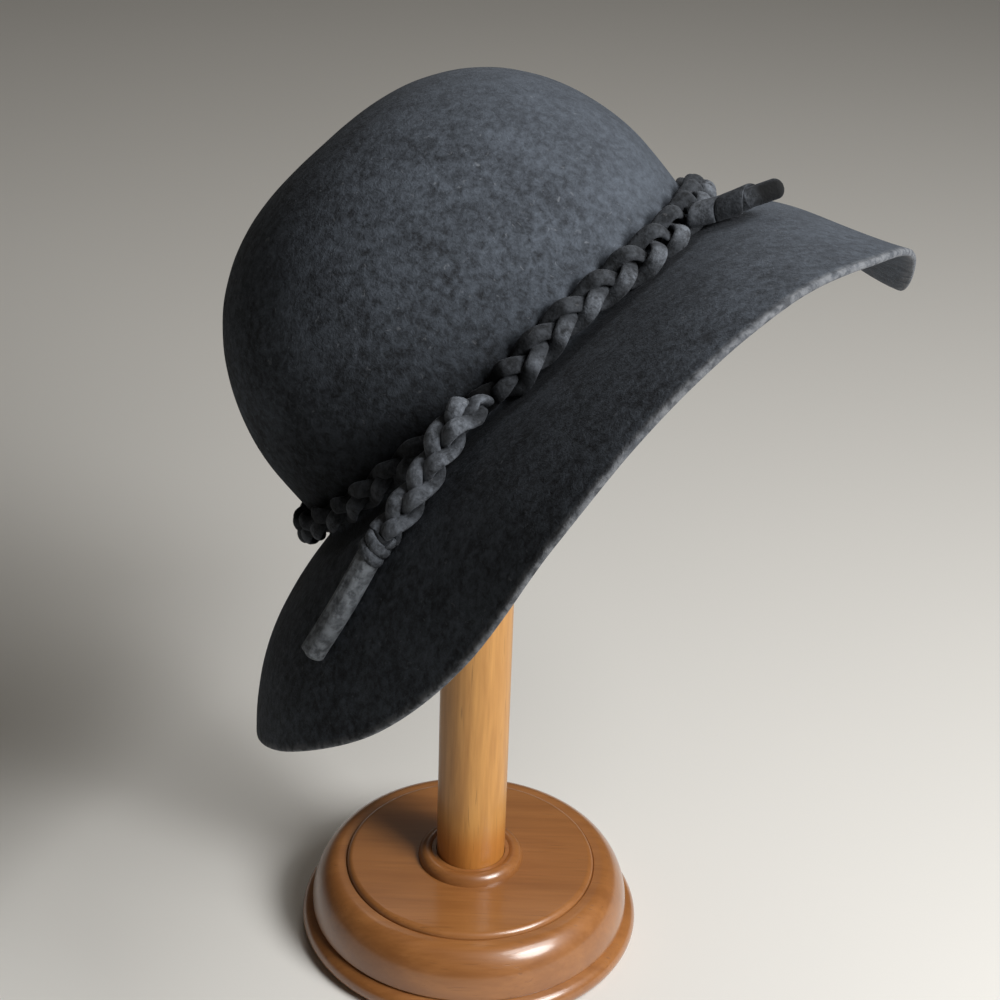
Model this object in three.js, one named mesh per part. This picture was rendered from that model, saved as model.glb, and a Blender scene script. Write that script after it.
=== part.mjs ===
// Wide-brim felt hat with a plaited felt band, set at a slant on a turned wooden hat stand.
// Millimetres, +Z up. The origin is the middle of the stand's flat underside.
// The hat has axes of its own: +X to the front of the brim, +Z to the top of the crown, and the brim
// breaks from the crown at height 0. Azimuth 0 is the front and 270 is the side that shows the tails.

import * as THREE from 'three';

// Felt body: crown and brim blocked from one piece of wool felt
const FELT_WALL = 3;
const CROWN_HALF_LENGTH = 101;
const CROWN_HALF_WIDTH = 85;
const CROWN_HEIGHT = 121;
const CROWN_WIDEST_AT = 35;
const CROWN_FOOT_SHARE = 0.985;
const CROWN_SHOULDER_POWER = 2.7;
const CROWN_RISE_POWER = 1.83;
const CROWN_FORWARD_LEAN = 0.022;
const BREAK_RADIUS = 6;
const BRIM_LEAVE_PULL = 0.42;
const BRIM_FALL_PULL = 0.3;

// Brim, a row for each radial section: how far the edge stands out from the crown's foot, how far it
// drops below the break, the slopes in degrees where the brim leaves the crown and at its edge, and the
// height of the band's middle above the break
const BRIM_ROWS = [
  { azimuth: 0, reach: 44, drop: 81, leave: 27, fall: 62, band: 9.4 },
  { azimuth: 20, reach: 57, drop: 71, leave: 26, fall: 60, band: 9.4 },
  { azimuth: 40, reach: 67, drop: 63, leave: 18, fall: 56, band: 9.6 },
  { azimuth: 60, reach: 75, drop: 54, leave: 14, fall: 48, band: 10 },
  { azimuth: 80, reach: 80, drop: 47, leave: 13, fall: 42, band: 10.5 },
  { azimuth: 100, reach: 79, drop: 48, leave: 12, fall: 42, band: 11 },
  { azimuth: 120, reach: 77, drop: 51, leave: 10, fall: 46, band: 11 },
  { azimuth: 140, reach: 78, drop: 49, leave: 10, fall: 48, band: 11 },
  { azimuth: 160, reach: 80, drop: 42, leave: 8, fall: 48, band: 11 },
  { azimuth: 180, reach: 80, drop: 39, leave: 8, fall: 48, band: 11 },
  { azimuth: 200, reach: 78, drop: 45, leave: 10, fall: 53, band: 11 },
  { azimuth: 220, reach: 73, drop: 55, leave: 14, fall: 55, band: 11 },
  { azimuth: 240, reach: 75, drop: 52, leave: 14, fall: 50, band: 11.5 },
  { azimuth: 260, reach: 84, drop: 37, leave: 12, fall: 38, band: 12 },
  { azimuth: 280, reach: 87, drop: 28, leave: 10, fall: 30, band: 15 },
  { azimuth: 300, reach: 86, drop: 31.5, leave: 10, fall: 36, band: 13.5 },
  { azimuth: 320, reach: 75.5, drop: 49.5, leave: 11, fall: 47, band: 9.8 },
  { azimuth: 340, reach: 58, drop: 66, leave: 19, fall: 54, band: 9.4 },
];

// How the hat sits on the stand
const HAT_POSITION = new THREE.Vector3(12.6, -15, 298.3);
const HAT_LEAN_BACK = -19.6;
const HAT_TIP_OVER = -43.8;
const HAT_TURN = 4.5;

// Plaited band round the foot of the crown: three flat strands, a closed ring
const STRAND_COUNT = 3;
const BAND_PERIODS = 15;
const BAND_SPREAD = 5.5;
const BAND_SWING = 3.8;
const BAND_STRAND = { halfWidth: 2.8, halfThickness: 2.1, sides: 6 };
const BAND_CLEARANCE = 0.4;

// Tails of the band, which lie over the brim. A row places a point of a tail's middle line: its azimuth,
// how far out along the brim's section it is, and how far it is lifted off the felt.
// The near tail is plaited from the band down to a binding, with a rolled end below the binding.
const NEAR_PLAIT_ROWS = [
  { azimuth: 260.8, along: 0.09, lift: 15.5 },
  { azimuth: 255.8, along: 0.097, lift: 13.7 },
  { azimuth: 248.9, along: 0.123, lift: 9.3 },
  { azimuth: 242.3, along: 0.15, lift: 5.4 },
  { azimuth: 237.3, along: 0.19, lift: 4.8 },
  { azimuth: 231.6, along: 0.235, lift: 4.7 },
];
const NEAR_PLAIT_PERIODS = 1.5;
const NEAR_PLAIT_SPREAD = 4.8;
const NEAR_PLAIT_SWING = 3.3;
const NEAR_STRAND = { halfWidth: 2.3, halfThickness: 1.5, sides: 6 };
const NEAR_BINDING_ROWS = [
  { azimuth: 230.9, along: 0.243, lift: 4.8 },
  { azimuth: 226.6, along: 0.3, lift: 4.6 },
];
const NEAR_BINDING = { halfWidth: 6.6, halfThickness: 4.3, sides: 10 };
const NEAR_END_ROWS = [
  { azimuth: 226.3, along: 0.304, lift: 4.4 },
  { azimuth: 220, along: 0.409, lift: 4.2 },
  { azimuth: 211.6, along: 0.56, lift: 4.1 },
];
const NEAR_END = { halfWidth: 5, halfThickness: 3.6, sides: 10 };

// The front tail is short, bound from the band on, and its rolled end stands off the brim
const FRONT_BINDING_ROWS = [
  { azimuth: 325, along: 0.055, lift: 6 },
  { azimuth: 325.5, along: 0.19, lift: 5.8 },
  { azimuth: 326, along: 0.28, lift: 8 },
];
const FRONT_BINDING = { halfWidth: 5.2, halfThickness: 4.8, sides: 10 };
const FRONT_END_ROWS = [
  { azimuth: 326, along: 0.296, lift: 8.3 },
  { azimuth: 328, along: 0.41, lift: 12 },
];
const FRONT_END = { halfWidth: 4, halfThickness: 3.6, sides: 10 };

// Turned stand
const POST_RADIUS = 16;
const POST_FIT = 0.3;
const POST_SOCKET_FLOOR = 12;
const PLINTH_RADIUS = 79.3;
const PLINTH_ROUND = 5.5;
const PLINTH_END = 65;
const GROOVE = new THREE.Vector2(73.7, 11.3);
const SHOULDER_CENTRE = new THREE.Vector2(61.5, 12.5);
const SHOULDER_HALF = new THREE.Vector2(13, 21.5);
const DISC_RADIUS = 58.2;
const DISC_ROUND = new THREE.Vector2(3, 2.6);
const BEAD_CENTRE_RADIUS = 20.5;
const BEAD_HALF = new THREE.Vector2(4.1, 5);
const BEAD_END = 125;
const TOP_RADIUS = 45;
const TOP_SUMMIT = 414.3;
const TOP_UNDERSIDE_BELOW_CENTRE = 20;
const TOP_SOCKET_DEPTH = 25;

// Facets
const FELT_SEGMENTS = 52;
const BRIM_RINGS = 7;
const BREAK_RINGS = 2;
const CROWN_RINGS = 8;
const STRAND_STEPS_PER_PERIOD = 9;
const TAIL_PIECE_STEPS = 4;
const STAND_SEGMENTS = 36;
const ARC_STEPS = 5;

// Small moves round and along the brim that its normal is taken from
const NORMAL_TURN = 1;
const NORMAL_STEP = 0.01;

const FELT = new THREE.MeshStandardMaterial({ color: 0x3a3d41, roughness: 1, metalness: 0 });
const BAND_FELT = new THREE.MeshStandardMaterial({ color: 0x45484c, roughness: 1, metalness: 0 });
const BASE_WOOD = new THREE.MeshStandardMaterial({ color: 0x8a5a33, roughness: 0.3, metalness: 0 });
const POST_WOOD = new THREE.MeshStandardMaterial({ color: 0xb07a45, roughness: 0.45, metalness: 0 });

const radians = THREE.MathUtils.degToRad;

// Numbers from 0 to 1 in equal steps, both ends included
function shares(steps) {
  return Array.from({ length: steps + 1 }, (_, i) => i / steps);
}

// One column of the brim table as a smooth closed function of azimuth
function brimColumn(name) {
  const values = BRIM_ROWS.map((row) => new THREE.Vector3(row[name], 0, 0));
  const curve = new THREE.CatmullRomCurve3(values, true, 'catmullrom', 0.5);
  return (azimuth) => curve.getPoint(THREE.MathUtils.euclideanModulo(azimuth / 360, 1)).x;
}

const brimReach = brimColumn('reach');
const brimDrop = brimColumn('drop');
const brimLeave = brimColumn('leave');
const brimFall = brimColumn('fall');
const bandRise = brimColumn('band');

// Size of the crown's ring at a height, as a share of its widest ring
function crownShare(height) {
  if (height < CROWN_WIDEST_AT) {
    const below = 1 - height / CROWN_WIDEST_AT;
    return 1 - (1 - CROWN_FOOT_SHARE) * below ** 2;
  }
  const above = (height - CROWN_WIDEST_AT) / (CROWN_HEIGHT - CROWN_WIDEST_AT);
  return (1 - above ** CROWN_RISE_POWER) ** (1 / CROWN_SHOULDER_POWER);
}

function crownPoint(azimuth, height) {
  const share = crownShare(height);
  const x = CROWN_HALF_LENGTH * share * Math.cos(radians(azimuth)) + CROWN_FORWARD_LEAN * height;
  const y = CROWN_HALF_WIDTH * share * Math.sin(radians(azimuth));
  return new THREE.Vector3(x, y, height);
}

// Level direction straight out from the crown's oval
function outward(azimuth) {
  const x = Math.cos(radians(azimuth)) / CROWN_HALF_LENGTH;
  const y = Math.sin(radians(azimuth)) / CROWN_HALF_WIDTH;
  return new THREE.Vector3(x, y, 0).normalize();
}

// Point in a radial section, given its distance out from the crown's foot and its height
function sectionPoint(azimuth, out, height) {
  const point = crownPoint(azimuth, BREAK_RADIUS).addScaledVector(outward(azimuth), out);
  return point.setZ(height);
}

// The turn from crown to brim, an arc from straight down to the brim's leaving slope
function breakPoint(azimuth, share) {
  const turn = radians(share * (90 - brimLeave(azimuth)));
  const out = BREAK_RADIUS * (1 - Math.cos(turn));
  return sectionPoint(azimuth, out, BREAK_RADIUS * (1 - Math.sin(turn)));
}

// The brim's section, a smooth curve from the break (along = 0) to the edge (along = 1)
function brimPoint(azimuth, along) {
  const leave = radians(brimLeave(azimuth));
  const fall = radians(brimFall(azimuth));
  const start = new THREE.Vector2(1 - Math.sin(leave), 1 - Math.cos(leave)).multiplyScalar(BREAK_RADIUS);
  const edge = new THREE.Vector2(brimReach(azimuth), -brimDrop(azimuth));
  const width = edge.length();
  const leaveWay = new THREE.Vector2(Math.cos(leave), -Math.sin(leave));
  const fallWay = new THREE.Vector2(Math.cos(fall), -Math.sin(fall));
  const leaveHandle = start.clone().addScaledVector(leaveWay, BRIM_LEAVE_PULL * width);
  const fallHandle = edge.clone().addScaledVector(fallWay, -BRIM_FALL_PULL * width);
  const at = new THREE.CubicBezierCurve(start, leaveHandle, fallHandle, edge).getPoint(along);
  return sectionPoint(azimuth, at.x, at.y);
}

// Direction straight up off the brim's outer face
function brimNormal(azimuth, along) {
  const [turn, step] = [NORMAL_TURN, NORMAL_STEP];
  const round = brimPoint(azimuth + turn, along).sub(brimPoint(azimuth - turn, along));
  const down = brimPoint(azimuth, along + step).sub(brimPoint(azimuth, along - step));
  return down.cross(round).normalize();
}

function meshFrom(name, points, triangles, material) {
  const geometry = new THREE.BufferGeometry();
  geometry.setAttribute('position', new THREE.Float32BufferAttribute(points.flatMap((p) => p.toArray()), 3));
  geometry.setIndex(triangles.flat());
  geometry.computeVertexNormals();
  const mesh = new THREE.Mesh(geometry, material);
  mesh.name = name;
  return mesh;
}

// Rings of the felt's outer face, from the brim's edge to just under the top of the crown
function feltRings() {
  const brim = shares(BRIM_RINGS).map((s) => (azimuth) => brimPoint(azimuth, 1 - s));
  const turn = shares(BREAK_RINGS).slice(1).map((s) => (azimuth) => breakPoint(azimuth, 1 - s));
  const crown = shares(CROWN_RINGS).slice(1, -1).map((s) => {
    const height = BREAK_RADIUS + (CROWN_HEIGHT - BREAK_RADIUS) * Math.sin((s * Math.PI) / 2);
    return (azimuth) => crownPoint(azimuth, height);
  });
  return [...brim, ...turn, ...crown];
}

// Hollow felt wall: the outer face, the same face set in by the wall, and the cut edge between them
function feltBody() {
  const azimuths = shares(FELT_SEGMENTS).slice(0, -1).map((s) => s * 360);
  const outer = feltRings().map((ring) => azimuths.map(ring));
  const top = new THREE.Vector3(CROWN_FORWARD_LEAN * CROWN_HEIGHT, 0, CROWN_HEIGHT);
  const next = (j) => (j + 1) % FELT_SEGMENTS;
  const before = (j) => (j + FELT_SEGMENTS - 1) % FELT_SEGMENTS;
  const inner = outer.map((ring, i) => ring.map((point, j) => {
    const round = ring[next(j)].clone().sub(ring[before(j)]);
    const lower = outer[Math.max(i - 1, 0)][j];
    const upper = i + 1 < outer.length ? outer[i + 1][j] : top;
    const normal = round.cross(upper.clone().sub(lower)).normalize();
    return point.clone().addScaledVector(normal, -FELT_WALL);
  }));
  const innerTop = top.clone().setZ(CROWN_HEIGHT - FELT_WALL);
  const points = [...outer.flat(), ...inner.flat(), top, innerTop];
  const ringCount = outer.length;
  const outerAt = (i, j) => i * FELT_SEGMENTS + j;
  const innerAt = (i, j) => (ringCount + i) * FELT_SEGMENTS + j;
  const topAt = points.length - 2;
  const innerTopAt = points.length - 1;
  const triangles = [];
  for (let j = 0; j < FELT_SEGMENTS; j += 1) {
    const k = next(j);
    for (let i = 0; i + 1 < ringCount; i += 1) {
      triangles.push([outerAt(i, j), outerAt(i, k), outerAt(i + 1, k)]);
      triangles.push([outerAt(i, j), outerAt(i + 1, k), outerAt(i + 1, j)]);
      triangles.push([innerAt(i, j), innerAt(i + 1, k), innerAt(i, k)]);
      triangles.push([innerAt(i, j), innerAt(i + 1, j), innerAt(i + 1, k)]);
    }
    triangles.push([outerAt(ringCount - 1, j), outerAt(ringCount - 1, k), topAt]);
    triangles.push([innerAt(ringCount - 1, k), innerAt(ringCount - 1, j), innerTopAt]);
    triangles.push([innerAt(0, j), innerAt(0, k), outerAt(0, k)]);
    triangles.push([innerAt(0, j), outerAt(0, k), outerAt(0, j)]);
  }
  return meshFrom('felt_body', points, triangles, FELT);
}

// Oval felt roll swept through a row of stations, each with a centre and the way its flat face looks.
// A closed row joins its end to its start.
function feltRoll(name, stations, { halfWidth, halfThickness, sides }, closed) {
  const count = stations.length;
  const stationAt = (i) => stations[closed ? (i + count) % count : THREE.MathUtils.clamp(i, 0, count - 1)];
  const points = stations.flatMap(({ centre, facing }, i) => {
    const tangent = stationAt(i + 1).centre.clone().sub(stationAt(i - 1).centre).normalize();
    const through = facing.clone().addScaledVector(tangent, -facing.dot(tangent)).normalize();
    const across = through.clone().cross(tangent);
    return shares(sides).slice(0, -1).map((s) => {
      const angle = s * 2 * Math.PI;
      const point = centre.clone().addScaledVector(across, halfWidth * Math.cos(angle));
      return point.addScaledVector(through, halfThickness * Math.sin(angle));
    });
  });
  const at = (i, j) => (i % count) * sides + (j % sides);
  const triangles = [];
  for (let i = 0; i < (closed ? count : count - 1); i += 1) {
    for (let j = 0; j < sides; j += 1) {
      triangles.push([at(i, j), at(i, j + 1), at(i + 1, j + 1)]);
      triangles.push([at(i, j), at(i + 1, j + 1), at(i + 1, j)]);
    }
  }
  if (!closed) {
    for (let j = 1; j + 1 < sides; j += 1) {
      triangles.push([at(0, 0), at(0, j + 1), at(0, j)]);
      triangles.push([at(count - 1, 0), at(count - 1, j), at(count - 1, j + 1)]);
    }
  }
  return meshFrom(name, points, triangles, BAND_FELT);
}

// Where a plait's strand lies, off the plait's middle: to the side and towards the viewer
function plaitOffset(turn, spread, swing) {
  return { side: spread * Math.sin(turn), lift: -swing * Math.sin(2 * turn) };
}

// The band's middle line, a closed ring that stands off the crown by half the band's thickness
function bandRing() {
  const standoff = BAND_SWING + BAND_STRAND.halfThickness + BAND_CLEARANCE;
  const points = shares(FELT_SEGMENTS).slice(0, -1).map((s) => {
    const azimuth = s * 360;
    return crownPoint(azimuth, bandRise(azimuth)).addScaledVector(outward(azimuth), standoff);
  });
  return new THREE.CatmullRomCurve3(points, true);
}

function bandStrand(index) {
  const ring = bandRing();
  const up = new THREE.Vector3(0, 0, 1);
  const steps = BAND_PERIODS * STRAND_STEPS_PER_PERIOD;
  const stations = shares(steps).slice(0, -1).map((s) => {
    const facing = ring.getTangentAt(s).cross(up).normalize();
    const turn = 2 * Math.PI * (BAND_PERIODS * s + index / STRAND_COUNT);
    const { side, lift } = plaitOffset(turn, BAND_SPREAD, BAND_SWING);
    const centre = ring.getPointAt(s).addScaledVector(up, side).addScaledVector(facing, lift);
    return { centre, facing };
  });
  return feltRoll(`band_strand_${index + 1}`, stations, BAND_STRAND, true);
}

// A route over the brim: its middle line and the way up off the felt along it
function routeOverBrim(rows) {
  const ground = rows.map(({ azimuth, along, lift }) => {
    const normal = brimNormal(azimuth, along);
    return { point: brimPoint(azimuth, along).addScaledVector(normal, lift), normal };
  });
  const middle = new THREE.CatmullRomCurve3(ground.map(({ point }) => point));
  const normals = new THREE.CatmullRomCurve3(ground.map(({ normal }) => normal));
  return (s) => {
    const facing = normals.getPoint(s).normalize();
    return { centre: middle.getPoint(s), tangent: middle.getTangent(s), facing };
  };
}

function nearTailStrand(index) {
  const route = routeOverBrim(NEAR_PLAIT_ROWS);
  const steps = Math.round(NEAR_PLAIT_PERIODS * STRAND_STEPS_PER_PERIOD);
  const stations = shares(steps).map((s) => {
    const { centre, tangent, facing } = route(s);
    const sideways = facing.clone().cross(tangent).normalize();
    const turn = 2 * Math.PI * (NEAR_PLAIT_PERIODS * s + index / STRAND_COUNT);
    const { side, lift } = plaitOffset(turn, NEAR_PLAIT_SPREAD, NEAR_PLAIT_SWING);
    centre.addScaledVector(sideways, side).addScaledVector(facing, lift);
    return { centre, facing };
  });
  return feltRoll(`near_tail_strand_${index + 1}`, stations, NEAR_STRAND, false);
}

// Binding or unplaited end of a tail, one rolled piece
function tailPiece(name, rows, section) {
  const stations = shares(TAIL_PIECE_STEPS).map(routeOverBrim(rows));
  return feltRoll(name, stations, section, false);
}

// Turned piece from a half outline of radius and height that starts and ends on the axis
function turned(name, outline, material) {
  const geometry = new THREE.LatheGeometry(outline, STAND_SEGMENTS);
  geometry.rotateX(Math.PI / 2);
  const mesh = new THREE.Mesh(geometry, material);
  mesh.name = name;
  return mesh;
}

// Points on an oval arc of a turned outline, angles in degrees
function arc(centreRadius, centreHeight, half, from, to) {
  const sweep = [radians(from), radians(to)];
  return new THREE.EllipseCurve(centreRadius, centreHeight, half.x, half.y, ...sweep).getPoints(ARC_STEPS);
}

function standBase() {
  const plinthRound = new THREE.Vector2(PLINTH_ROUND, PLINTH_ROUND);
  const socketRadius = POST_RADIUS + POST_FIT;
  const shoulderTop = SHOULDER_CENTRE.y + SHOULDER_HALF.y;
  const discTop = shoulderTop + DISC_ROUND.y;
  const bead = arc(BEAD_CENTRE_RADIUS, discTop, BEAD_HALF, 0, BEAD_END);
  const outline = [
    new THREE.Vector2(0, 0),
    ...arc(PLINTH_RADIUS - PLINTH_ROUND, PLINTH_ROUND, plinthRound, -90, PLINTH_END),
    GROOVE,
    ...arc(SHOULDER_CENTRE.x, SHOULDER_CENTRE.y, SHOULDER_HALF, 0, 90),
    ...arc(DISC_RADIUS - DISC_ROUND.x, shoulderTop, DISC_ROUND, 0, 90),
    ...bead,
    new THREE.Vector2(socketRadius, bead.at(-1).y),
    new THREE.Vector2(socketRadius, POST_SOCKET_FLOOR),
    new THREE.Vector2(0, POST_SOCKET_FLOOR),
  ];
  return turned('stand_base', outline, BASE_WOOD);
}

function standPost() {
  const topCentre = TOP_SUMMIT - TOP_RADIUS;
  const foot = POST_SOCKET_FLOOR + POST_FIT;
  const head = topCentre - TOP_UNDERSIDE_BELOW_CENTRE + TOP_SOCKET_DEPTH - POST_FIT;
  const outline = [
    new THREE.Vector2(0, foot),
    new THREE.Vector2(POST_RADIUS, foot),
    new THREE.Vector2(POST_RADIUS, head),
    new THREE.Vector2(0, head),
  ];
  return turned('stand_post', outline, POST_WOOD);
}

// Rounded top inside the crown, cut flat underneath, with a socket for the post
function standTop() {
  const centre = TOP_SUMMIT - TOP_RADIUS;
  const underside = centre - TOP_UNDERSIDE_BELOW_CENTRE;
  const ball = new THREE.Vector2(TOP_RADIUS, TOP_RADIUS);
  const cut = THREE.MathUtils.radToDeg(Math.asin(TOP_UNDERSIDE_BELOW_CENTRE / TOP_RADIUS));
  const socketRadius = POST_RADIUS + POST_FIT;
  const outline = [
    new THREE.Vector2(0, underside + TOP_SOCKET_DEPTH),
    new THREE.Vector2(socketRadius, underside + TOP_SOCKET_DEPTH),
    new THREE.Vector2(socketRadius, underside),
    ...arc(0, centre, ball, -cut, 90).slice(0, -1),
    new THREE.Vector2(0, TOP_SUMMIT),
  ];
  return turned('stand_top', outline, BASE_WOOD);
}

const hat = new THREE.Group();
hat.position.copy(HAT_POSITION);
hat.rotation.set(radians(HAT_LEAN_BACK), radians(HAT_TIP_OVER), radians(HAT_TURN), 'XYZ');
hat.add(feltBody());
for (let index = 0; index < STRAND_COUNT; index += 1) {
  hat.add(bandStrand(index));
  hat.add(nearTailStrand(index));
}
hat.add(tailPiece('near_tail_binding', NEAR_BINDING_ROWS, NEAR_BINDING));
hat.add(tailPiece('near_tail_end', NEAR_END_ROWS, NEAR_END));
hat.add(tailPiece('front_tail_binding', FRONT_BINDING_ROWS, FRONT_BINDING));
hat.add(tailPiece('front_tail_end', FRONT_END_ROWS, FRONT_END));

const hatOnStand = new THREE.Group();
hatOnStand.add(standBase(), standPost(), standTop(), hat);

export default hatOnStand;
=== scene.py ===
"""Looks of a wide-brim felt hat with a plaited felt band, set at a slant on a turned wooden stand.

The hat's own sizes are millimetres in its own axes: +X to the front of the brim, +Z to the top of the
crown, the brim breaking from the crown at height 0. Azimuth 0 is the front and 270 is the side with the
tails. Everything that leaves the shape functions is in metres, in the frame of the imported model.
"""

import math

import bmesh
import bpy
import numpy as np
from mathutils import Euler, Matrix, Vector, noise


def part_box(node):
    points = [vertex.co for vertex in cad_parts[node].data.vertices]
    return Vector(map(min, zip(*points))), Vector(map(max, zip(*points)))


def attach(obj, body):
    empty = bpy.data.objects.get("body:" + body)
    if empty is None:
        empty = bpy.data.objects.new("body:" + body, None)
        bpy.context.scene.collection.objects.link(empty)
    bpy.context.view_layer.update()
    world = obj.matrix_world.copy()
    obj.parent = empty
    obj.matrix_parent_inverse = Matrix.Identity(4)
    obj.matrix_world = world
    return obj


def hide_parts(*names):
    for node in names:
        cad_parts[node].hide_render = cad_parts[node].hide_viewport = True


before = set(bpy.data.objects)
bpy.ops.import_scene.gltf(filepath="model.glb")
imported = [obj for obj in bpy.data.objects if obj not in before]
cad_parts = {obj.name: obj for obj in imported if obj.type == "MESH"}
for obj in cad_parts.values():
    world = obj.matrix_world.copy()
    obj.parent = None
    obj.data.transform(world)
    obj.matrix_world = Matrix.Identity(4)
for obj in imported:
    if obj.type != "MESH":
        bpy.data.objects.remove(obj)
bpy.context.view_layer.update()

bl_info = {
    "name": "Felt hat on a stand",
    "version": (1, 0, 0),
    "blender": (4, 5, 0),
    "location": "View3D > Sidebar > Felt Hat",
    "description": "Makes a wide-brim felt hat with a plaited band, its turned stand and a plain stage",
    "category": "Add Mesh",
}

MM = 0.001

# How the hat sits on the stand
HAT_POSITION = Vector((12.6, -15.0, 298.3))
HAT_LEAN_BACK = math.radians(-19.6)
HAT_TIP_OVER = math.radians(-43.8)
HAT_TURN = math.radians(4.5)

# Crown
CROWN_HALF_LENGTH = 101.0
CROWN_HALF_WIDTH = 85.0
CROWN_HEIGHT = 121.0
CROWN_WIDEST_AT = 35.0
CROWN_FOOT_SHARE = 0.985
CROWN_SHOULDER_POWER = 2.7
CROWN_RISE_POWER = 1.83
CROWN_FORWARD_LEAN = 0.022
BREAK_RADIUS = 6.0

# Brim, a row for each radial section from the front round, in equal turns: how far the edge stands out
# from the crown's foot, how far it drops below the break, the slopes in degrees where the brim leaves the
# crown and at its edge, and the height of the band's middle above the break
BRIM_COLUMNS = ("reach", "drop", "leave", "fall", "band")
BRIM_ROWS = (
    (44, 81, 27, 62, 9.4),
    (57, 71, 26, 60, 9.4),
    (67, 63, 18, 56, 9.6),
    (75, 54, 14, 48, 10),
    (80, 47, 13, 42, 10.5),
    (79, 48, 12, 42, 11),
    (77, 51, 10, 46, 11),
    (78, 49, 10, 48, 11),
    (80, 42, 8, 48, 11),
    (80, 39, 8, 48, 11),
    (78, 45, 10, 53, 11),
    (73, 55, 14, 55, 11),
    (75, 52, 14, 50, 11.5),
    (84, 37, 12, 38, 12),
    (87, 28, 10, 30, 15),
    (86, 31.5, 10, 36, 13.5),
    (75.5, 49.5, 11, 47, 9.8),
    (58, 66, 19, 54, 9.4),
)
BRIM_LEAVE_PULL = 0.42
BRIM_FALL_PULL = 0.3

# Rings and columns of the fine felt mesh
FELT_COLUMNS = 360
BRIM_RINGS = 44
BREAK_RINGS = 8
CROWN_WALL_RINGS = 34
CROWN_TOP_RINGS = 40
CROWN_TOP_SHARE = 0.8
CROWN_POLE_SHARE = 0.012
EDGE_RINGS = 7
# Cut edge of the brim: how squarely it is rounded, and how pale the felt beside it is
EDGE_FULLNESS = 0.7
BESIDE_EDGE = 0.7
# Hand blocking: lengths of its slow waves and small dents in millimetres, the waves' share, and where the
# noise of the dents starts
SLOW_WAVE = 46.0
SMALL_DENT = 13.0
SLOW_SHARE = 0.72
DENT_START = Vector((7.0, 3.0, 5.0))

# Painted shade of the felt, as pairs of heights or distances in millimetres where it ends and where it is
# full. It darkens the crown above the band, most at one azimuth, and the brim beside the band and the front
# tail, where their shadows fall.
LOW_CROWN = (96.0, 8.0)
LOW_CROWN_FOOT = (2.0, 6.0)
LOW_CROWN_SIDE = 225.0
BRIM_TOP = (5.0, 1.0)
BAND_CREVICE = (16.0, 11.0)
BAND_CREVICE_STATIONS = 180
FRONT_CREVICE = (18.0, 9.0)
FRONT_CREVICE_STATIONS = 30
# Share of the front tail's way that its painted shadow goes along
FRONT_CREVICE_RUN = 0.6
# Painted light, paler felt towards the front: the azimuth where it is palest, how fast that eases off round
# the hat, and the distances from the axis where it starts and where it is full
PAINTED_LIGHT_SIDE = 350.0
PAINTED_LIGHT_POWER = 3
PAINTED_LIGHT_REACH = (0.0, 60.0)

# Band
STRAND_COUNT = 3
STRAND_BULGE = 0.12
BAND_STATIONS = 720
BAND_CLEARANCE = 0.2
# Share of a tilted strand's width that the band needs as room off the crown
BAND_TILT_ROOM = 0.3
# Azimuth, how full the band is, how far it has slipped down to the brim in millimetres, and added painted
# shade
BAND_ROWS = (
    (0.0, 0.95, 3.0, 0.0),
    (100.0, 1.0, 2.0, 0.0),
    (180.0, 0.95, 0.0, 0.0),
    (200.0, 0.9, 0.0, 0.0),
    (212.0, 0.75, 1.0, 0.0),
    (240.0, 0.75, 2.0, 0.2),
    (254.0, 0.65, 3.0, 0.8),
    (258.0, 0.5, 3.5, 1.6),
    (264.0, 0.6, 4.5, 1.5),
    (268.5, 1.15, 5.8, 0.35),
    (275.0, 1.15, 5.8, 0.1),
    (283.0, 1.0, 5.0, 0.0),
    (292.0, 1.02, 5.2, 0.0),
    (302.0, 1.25, 5.6, 0.0),
    (312.0, 1.4, 5.4, 0.0),
    (322.0, 1.3, 4.2, 0.0),
    (338.0, 1.0, 3.0, 0.0),
    (360.0, 0.95, 3.0, 0.0),
)

# Tails. A row places a point of a tail's middle line: its azimuth, how far out along the brim's section it
# is, and how far it is lifted off the felt.
NEAR_PLAIT_ROWS = (
    (259.5, -0.01, 8.0),
    (259.0, 0.03, 10.0),
    (258.6, 0.06, 11.5),
    (257.6, 0.082, 13.0),
    (255.4, 0.095, 13.2),
    (249.4, 0.122, 9.7),
    (243.6, 0.169, 7.3),
    (237.8, 0.203, 6.1),
    (232.6, 0.236, 5.2),
)
NEAR_BINDING_ROWS = ((232.8, 0.235, 5.2), (228.4, 0.272, 4.9))
NEAR_END_ROWS = ((229.0, 0.267, 4.9), (220.2, 0.411, 4.6), (211.6, 0.56, 4.3))
FRONT_BINDING_ROWS = ((325.0, 0.055, 6.0), (325.5, 0.19, 5.8), (326.0, 0.28, 8.0))
FRONT_END_ROWS = ((325.9, 0.26, 7.4), (326.4, 0.32, 8.9), (328.0, 0.4, 11.7))
# How far the tails' flat faces lean out from the crown, at the start and the end of a route
NEAR_PLAIT_LEAN = (0.6, 0.4)
NEAR_END_LEAN = (0.4, 0.25)
# Share of the way along the near plait, and how full it is there
NEAR_PLAIT_GIRTH = ((0.0, 1.0), (0.25, 1.22), (0.5, 1.05), (1.0, 0.95))
# Share of the way along, and added painted shade
NEAR_PLAIT_SHADE = ((0.0, 0.75), (0.18, 0.6), (0.34, 0.0), (1.0, 0.0))
FRONT_WRAP_SHADE = ((0.0, -0.9), (0.35, -0.5), (0.7, 0.3), (1.0, 0.6))
# Fine steps between the points of a route, stations along the tails, and sides of their round sections
STEPS_BETWEEN_POINTS = 40
PLAIT_STATIONS = 120
BINDING_STATIONS = 90
NEAR_END_STATIONS = 60
FRONT_END_STATIONS = 40
TAIL_SIDES = 32
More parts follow.
